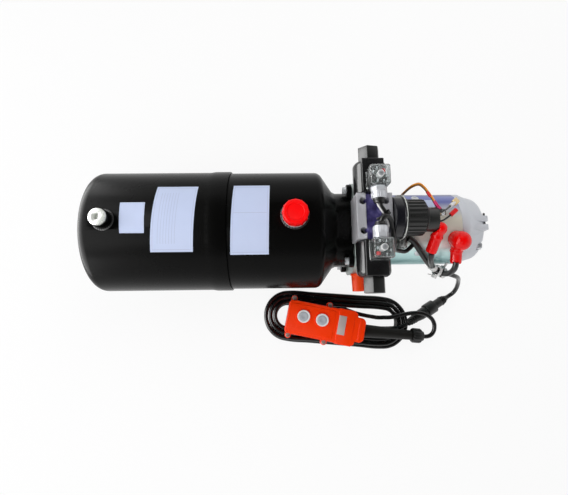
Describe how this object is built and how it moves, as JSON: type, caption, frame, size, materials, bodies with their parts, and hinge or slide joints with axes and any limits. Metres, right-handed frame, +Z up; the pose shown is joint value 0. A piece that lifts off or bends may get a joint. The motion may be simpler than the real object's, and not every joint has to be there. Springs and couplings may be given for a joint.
{
  "type": "hydraulic power unit",
  "caption": "Hydraulic power unit: round black steel tank, manifold with a double-solenoid valve, gear pump, DC motor with start relay, and a push-button pendant on a bundled cord.",
  "frame": {"origin": "centre of the mounting bolt pattern on the manifold's flat underside", "axes": "+X along the shaft from the tank to the motor, +Z up, +Y towards the back"},
  "size_m": [0.5855, 0.29, 0.2245],
  "materials": {
    "tank_paint": "gloss black paint",
    "nickel_plate": "bright nickel plate",
    "chrome_plate": "bright chrome plate",
    "red_cap": "moulded red plastic",
    "seal_rubber": "nitrile rubber",
    "zinc_steel": "zinc plated steel",
    "block_aluminium": "machined aluminium",
    "orange_plug": "soft orange plastic",
    "valve_iron": "phosphated cast iron",
    "black_steel": "black oxide steel",
    "bright_steel": "ground steel",
    "coil_resin": "moulded black resin",
    "black_nylon": "moulded black nylon",
    "clear_plastic": "clear moulded plastic",
    "lead_rubber": "black cable sheath",
    "strainer_plastic": "plastic tube and mesh",
    "motor_steel": "plated steel tube",
    "cast_aluminium": "die-cast aluminium",
    "magnet": "bonded ferrite",
    "armature": "laminations and varnished winding",
    "copper": "copper",
    "brush_carbon": "carbon brushes on a moulded plate",
    "brass": "plated brass",
    "relay_black": "black painted can",
    "red_boot": "soft red vinyl",
    "orange_wire": "wire insulation",
    "white_tie": "natural nylon",
    "orange_shell": "moulded orange plastic",
    "white_button": "moulded white plastic",
    "sleeve_rubber": "moulded rubber",
    "cord_rubber": "black cord sheath"
  },
  "bodies": {
    "unit": {"tank_rear_shell": "tank_paint", "tank_front_shell": "tank_paint", "port_bung": "tank_paint", "port_bung_plug": "nickel_plate", "filler_base": "chrome_plate", "neck_seal": "seal_rubber", "tank_bolts": "zinc_steel", "manifold_block": "block_aluminium", "relief_valve": "zinc_steel", "port_plugs": "orange_plug", "valve_body": "valve_iron", "valve_bolts": "black_steel", "core_tubes": "bright_steel", "centring_springs": "bright_steel", "solenoid_coils": "coil_resin", "coil_nuts": "black_nylon", "din_housings": "clear_plastic", "din_glands": "chrome_plate", "valve_leads": "lead_rubber", "pump_body": "block_aluminium", "pump_cover": "block_aluminium", "suction_strainer": "strainer_plastic", "motor_tube": "motor_steel", "motor_flange": "block_aluminium", "motor_end_cap": "cast_aluminium", "pole_magnets": "magnet", "brush_set": "brush_carbon", "bearings": "bright_steel", "through_bolts": "zinc_steel", "terminal_studs": "brass", "relay_can": "relay_black", "relay_cap": "black_nylon", "relay_coil": "copper", "relay_bracket": "zinc_steel", "terminal_boots": "red_boot", "relay_wires": "orange_wire", "heat_shrink_lead": "lead_rubber", "cable_ties": "white_tie", "pendant_base": "orange_shell", "pendant_cover": "orange_shell", "switch_block": "black_nylon", "small_screws": "zinc_steel", "cord_sleeve": "sleeve_rubber", "sleeve_nut": "black_nylon", "control_cord": "cord_rubber", "inline_connector": "black_nylon", "cord_hank": "cord_rubber", "pendant_lead": "cord_rubber"},
    "rotor": {"motor_shaft": "bright_steel", "armature_core": "armature", "commutator": "copper", "shaft_coupling": "bright_steel", "drive_gear": "bright_steel"},
    "driven_gear": {"driven_gear": "bright_steel"},
    "spool": {"valve_spool": "bright_steel", "solenoid_plungers": "bright_steel"},
    "relay_core": {"relay_plunger": "bright_steel"},
    "filler_lid": {"filler_cap": "red_cap"},
    "up_key": {"up_button": "white_button"},
    "down_key": {"down_button": "white_button"}
  },
  "joints": [
    {"name": "rotor_spin", "type": "hinge", "parent": "unit", "child": "rotor", "pos_m": [0.08, 0, 0.06], "axis": [1, 0, 0], "continuous": true},
    {"name": "driven_gear_spin", "type": "hinge", "parent": "unit", "child": "driven_gear", "pos_m": [-0.05, 0, 0.03], "axis": [1, 0, 0], "continuous": true},
    {"name": "spool_shift", "type": "slide", "parent": "unit", "child": "spool", "axis": [0, 1, 0], "range_m": [-0.0035, 0.0035], "stiffness_N_per_m": 3000, "deforming": ["centring_springs"]},
    {"name": "relay_pull", "type": "slide", "parent": "unit", "child": "relay_core", "axis": [1, 0, 0], "range_m": [0, 0.004], "stiffness_N_per_m": 1500},
    {"name": "filler_cap_turn", "type": "hinge", "parent": "unit", "child": "filler_lid", "pos_m": [-0.11, 0.0045, 0.155], "axis": [0, 0, 1], "range_deg": [0, 90]},
    {"name": "up_button_press", "type": "slide", "parent": "unit", "child": "up_key", "axis": [0, 0, -1], "range_m": [0, 0.003], "stiffness_N_per_m": 900},
    {"name": "down_button_press", "type": "slide", "parent": "unit", "child": "down_key", "axis": [0, 0, -1], "range_m": [0, 0.003], "stiffness_N_per_m": 900}
  ],
  "couplings": [
    {"joint": "driven_gear_spin", "follows": "rotor_spin", "ratio": -1}
  ]
}
